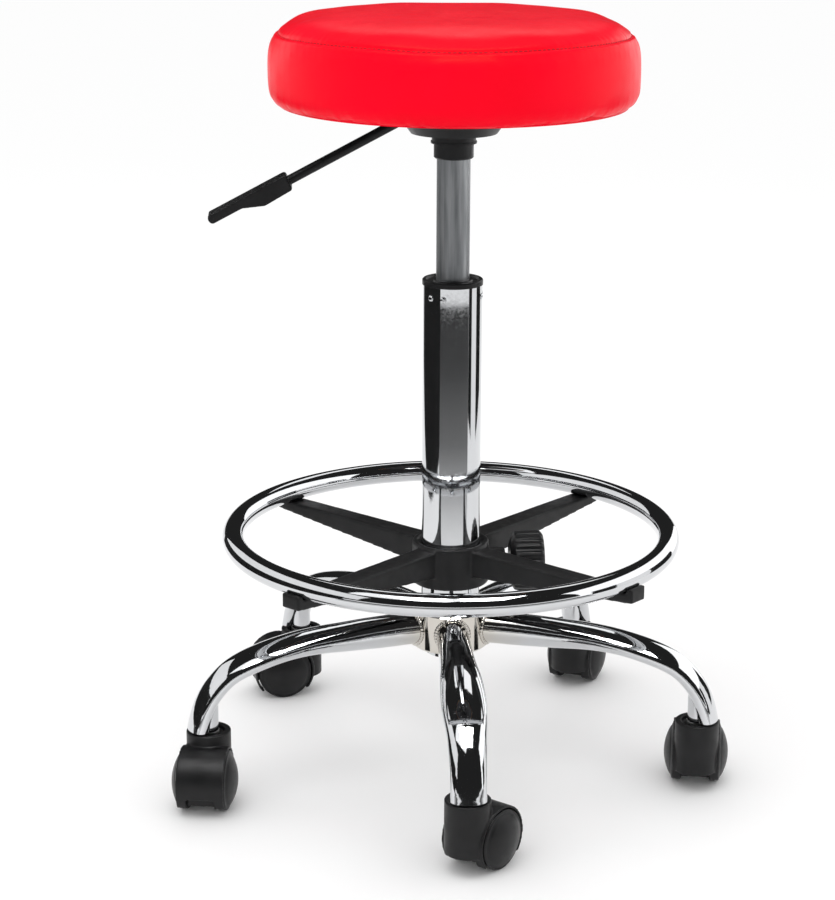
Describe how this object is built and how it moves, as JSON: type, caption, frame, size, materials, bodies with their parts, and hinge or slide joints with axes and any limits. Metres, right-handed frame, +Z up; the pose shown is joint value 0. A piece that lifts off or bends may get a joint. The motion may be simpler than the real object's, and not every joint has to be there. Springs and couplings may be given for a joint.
{
  "type": "rolling stylist stool",
  "caption": "Height-adjustable round padded stool with a gas lift, a sliding chrome foot ring and a chromed tube base on hooded casters.",
  "frame": {"origin": "on the floor, under the middle of the column", "axes": "+Z up along the column, -Y to the front, where the first leg points, -X the side of the height lever at rest"},
  "size_m": [0.479, 0.4674, 0.6493],
  "materials": {
    "red_vinyl": "smooth red synthetic leather with a fine grain and a soft sheen",
    "foam": "open-cell seat foam",
    "plywood": "plain plywood",
    "black_lining": "black non-woven lining",
    "black_steel": "black powder-coated steel",
    "black_plastic": "black moulded plastic with a fine texture",
    "black_nylon": "black glass-filled nylon, satin",
    "wheel_nylon": "black nylon wheel with a smooth domed cap",
    "steel": "bright zinc-plated steel",
    "zinc_steel": "grey satin steel with soft lengthwise streaks",
    "chrome": "mirror chrome plate",
    "brass": "turned brass",
    "pad_plastic": "natural nylon"
  },
  "bodies": {
    "base": {"base_hub": "chrome", "leg_1": "chrome", "leg_2": "chrome", "leg_3": "chrome", "leg_4": "chrome", "leg_5": "chrome", "caster_sockets": "chrome", "caster_stems": "steel", "column_tube": "chrome", "guide_bush": "black_plastic", "bush_rivets": "steel", "bearing_lower_race": "steel", "bearing_balls": "steel"},
    "caster_1": {"caster_hood_1": "black_nylon", "caster_axle_1": "steel"},
    "caster_1_left_wheel": {"wheel_left_1": "wheel_nylon"},
    "caster_1_right_wheel": {"wheel_right_1": "wheel_nylon"},
    "caster_2": {"caster_hood_2": "black_nylon", "caster_axle_2": "steel"},
    "caster_2_left_wheel": {"wheel_left_2": "wheel_nylon"},
    "caster_2_right_wheel": {"wheel_right_2": "wheel_nylon"},
    "caster_3": {"caster_hood_3": "black_nylon", "caster_axle_3": "steel"},
    "caster_3_left_wheel": {"wheel_left_3": "wheel_nylon"},
    "caster_3_right_wheel": {"wheel_right_3": "wheel_nylon"},
    "caster_4": {"caster_hood_4": "black_nylon", "caster_axle_4": "steel"},
    "caster_4_left_wheel": {"wheel_left_4": "wheel_nylon"},
    "caster_4_right_wheel": {"wheel_right_4": "wheel_nylon"},
    "caster_5": {"caster_hood_5": "black_nylon", "caster_axle_5": "steel"},
    "caster_5_left_wheel": {"wheel_left_5": "wheel_nylon"},
    "caster_5_right_wheel": {"wheel_right_5": "wheel_nylon"},
    "lift_rod": {"piston_rod": "steel", "piston": "brass", "rod_clip": "steel", "bearing_upper_race": "steel"},
    "seat": {"gas_cylinder": "zinc_steel", "rod_guide": "black_plastic", "valve_body": "brass", "taper_socket": "black_steel", "socket_collar": "black_plastic", "seat_plate": "black_steel", "seat_bolts": "steel", "tee_nuts": "steel", "seat_board": "plywood", "dust_cover": "black_lining", "seat_cover": "red_vinyl", "seat_foam": "foam", "lever_pivot_pin": "steel"},
    "lever": {"lever_rod": "black_steel", "lever_handle": "black_plastic"},
    "valve_button": {"valve_pin": "steel"},
    "foot_rest": {"foot_ring": "chrome", "ring_spider": "black_nylon", "spider_screws": "steel", "clamp_insert": "brass"},
    "knob": {"clamp_knob": "black_nylon", "clamp_stud": "steel"},
    "pad": {"clamp_pad": "pad_plastic"}
  },
  "joints": [
    {"name": "caster_1_swivel", "type": "hinge", "parent": "base", "child": "caster_1", "pos_m": [0, -0.219, 0.062], "axis": [0, 0, 1], "continuous": true},
    {"name": "caster_1_left_roll", "type": "hinge", "parent": "caster_1", "child": "caster_1_left_wheel", "pos_m": [0.01312, -0.20391, 0.025], "axis": [-0.7547, 0.6561, 0], "continuous": true},
    {"name": "caster_1_right_roll", "type": "hinge", "parent": "caster_1", "child": "caster_1_right_wheel", "pos_m": [0.01312, -0.20391, 0.025], "axis": [-0.7547, 0.6561, 0], "continuous": true},
    {"name": "caster_2_swivel", "type": "hinge", "parent": "base", "child": "caster_2", "pos_m": [0.20828, -0.06767, 0.062], "axis": [0, 0, 1], "continuous": true},
    {"name": "caster_2_left_roll", "type": "hinge", "parent": "caster_2", "child": "caster_2_left_wheel", "pos_m": [0.21175, -0.04798, 0.025], "axis": [-0.9848, 0.1736, 0], "continuous": true},
    {"name": "caster_2_right_roll", "type": "hinge", "parent": "caster_2", "child": "caster_2_right_wheel", "pos_m": [0.21175, -0.04798, 0.025], "axis": [-0.9848, 0.1736, 0], "continuous": true},
    {"name": "caster_3_swivel", "type": "hinge", "parent": "base", "child": "caster_3", "pos_m": [0.12873, 0.17717, 0.062], "axis": [0, 0, 1], "continuous": true},
    {"name": "caster_3_left_roll", "type": "hinge", "parent": "caster_3", "child": "caster_3_left_wheel", "pos_m": [0.13686, 0.19545, 0.025], "axis": [-0.9135, 0.4067, 0], "continuous": true},
    {"name": "caster_3_right_roll", "type": "hinge", "parent": "caster_3", "child": "caster_3_right_wheel", "pos_m": [0.13686, 0.19545, 0.025], "axis": [-0.9135, 0.4067, 0], "continuous": true},
    {"name": "caster_4_swivel", "type": "hinge", "parent": "base", "child": "caster_4", "pos_m": [-0.12873, 0.17717, 0.062], "axis": [0, 0, 1], "continuous": true},
    {"name": "caster_4_left_roll", "type": "hinge", "parent": "caster_4", "child": "caster_4_left_wheel", "pos_m": [-0.14829, 0.17302, 0.025], "axis": [0.2079, -0.9781, 0], "continuous": true},
    {"name": "caster_4_right_roll", "type": "hinge", "parent": "caster_4", "child": "caster_4_right_wheel", "pos_m": [-0.14829, 0.17302, 0.025], "axis": [0.2079, -0.9781, 0], "continuous": true},
    {"name": "caster_5_swivel", "type": "hinge", "parent": "base", "child": "caster_5", "pos_m": [-0.20828, -0.06767, 0.062], "axis": [0, 0, 1], "continuous": true},
    {"name": "caster_5_left_roll", "type": "hinge", "parent": "caster_5", "child": "caster_5_left_wheel", "pos_m": [-0.21141, -0.08743, 0.025], "axis": [0.9877, -0.1564, 0], "continuous": true},
    {"name": "caster_5_right_roll", "type": "hinge", "parent": "caster_5", "child": "caster_5_right_wheel", "pos_m": [-0.21141, -0.08743, 0.025], "axis": [0.9877, -0.1564, 0], "continuous": true},
    {"name": "seat_swivel", "type": "hinge", "parent": "base", "child": "lift_rod", "pos_m": [0, 0, 0.11], "axis": [0, 0, 1], "continuous": true},
    {"name": "seat_height", "type": "slide", "parent": "lift_rod", "child": "seat", "axis": [0, 0, 1], "range_m": [-0.1, 0.1]},
    {"name": "lever_lift", "type": "hinge", "parent": "seat", "child": "lever", "pos_m": [-0.032, 0, 0.5723], "axis": [0, 1, 0], "range_deg": [0, 5]},
    {"name": "valve_press", "type": "slide", "parent": "seat", "child": "valve_button", "axis": [0, 0, -1], "range_m": [0, 0.0029]},
    {"name": "foot_ring_height", "type": "slide", "parent": "base", "child": "foot_rest", "axis": [0, 0, 1], "range_m": [-0.01, 0.15]},
    {"name": "clamp_turn", "type": "hinge", "parent": "foot_rest", "child": "knob", "pos_m": [0.065, 0, 0.1853], "axis": [1, 0, 0], "range_deg": [0, 360]},
    {"name": "clamp_press", "type": "slide", "parent": "foot_rest", "child": "pad", "axis": [1, 0, 0], "range_m": [0, 0.00125]}
  ],
  "couplings": [
    {"joint": "valve_press", "follows": "lever_lift", "m_per_rad": 0.032},
    {"joint": "clamp_press", "follows": "clamp_turn", "m_per_rad": 0.00019894}
  ]
}
